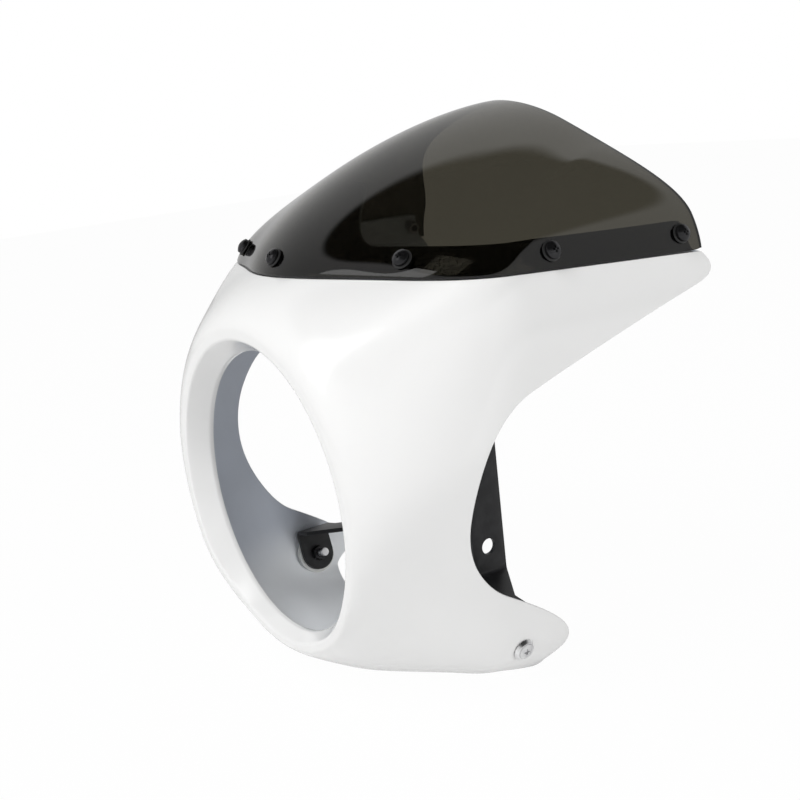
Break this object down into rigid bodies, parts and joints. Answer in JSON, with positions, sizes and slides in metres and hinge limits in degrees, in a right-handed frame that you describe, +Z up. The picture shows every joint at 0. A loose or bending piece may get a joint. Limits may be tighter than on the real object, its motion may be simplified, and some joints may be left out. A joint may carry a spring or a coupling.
{
  "type": "headlight cowl",
  "caption": "Moulded motorcycle headlight cowl with a round rolled opening, a smoked windscreen screwed to its flange, and bent steel stays.",
  "frame": {"origin": "centre of the headlight opening, halfway along its collar", "axes": "-Y forward along the headlight's axis, +X to the rider's left, +Z up"},
  "size_m": [0.306, 0.2534, 0.3479],
  "materials": {
    "shell_white": "gloss white lacquer outside, grey unpainted inside",
    "smoked_acrylic": "clear dark smoke tint, polished",
    "black_steel": "satin black",
    "black_rubber": "matt",
    "zinc_steel": "zinc plated",
    "bright_steel": "bright plated",
    "white_nylon": "natural nylon"
  },
  "bodies": {
    "root": {"cowl_shell": "shell_white", "windscreen": "smoked_acrylic", "screen_screws": "black_steel", "screen_washers": "black_rubber", "flange_washers": "zinc_steel", "screen_nuts": "zinc_steel", "left_stay": "black_steel", "right_stay": "black_steel", "chin_screws": "bright_steel", "chin_cup_washers": "bright_steel", "chin_pads": "white_nylon", "chin_nuts": "black_steel"}
  },
  "joints": []
}
